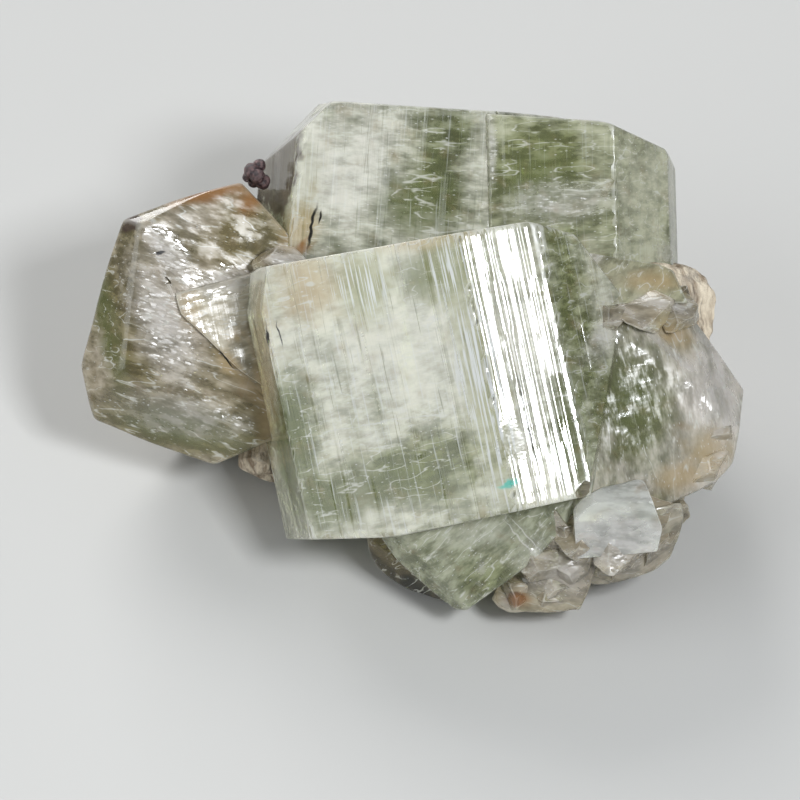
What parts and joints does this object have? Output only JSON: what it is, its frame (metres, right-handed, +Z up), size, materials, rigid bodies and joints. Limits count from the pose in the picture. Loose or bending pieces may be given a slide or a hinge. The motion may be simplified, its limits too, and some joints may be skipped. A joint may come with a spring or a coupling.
{
  "type": "apatite crystal specimen",
  "caption": "Natural mineral specimen: stout intergrown six-sided apatite crystals, smoky olive green, on a little broken host rock, resting on its flat break.",
  "frame": {"origin": "on the surface that the specimen rests on, under the middle of its box", "axes": "+Z up, +X to the right of the specimen as it is looked at, along its longest extent, +Y toward its back"},
  "size_m": [0.0732, 0.0612, 0.0423],
  "materials": {
    "apatite": "glassy, with frosted and stained patches",
    "host_rock": "rough, matte",
    "dark_mineral": "dull, a little glossy"
  },
  "bodies": {
    "root": {"apatite_crystals": "apatite", "matrix": "host_rock", "dark_grains": "dark_mineral"}
  },
  "joints": []
}
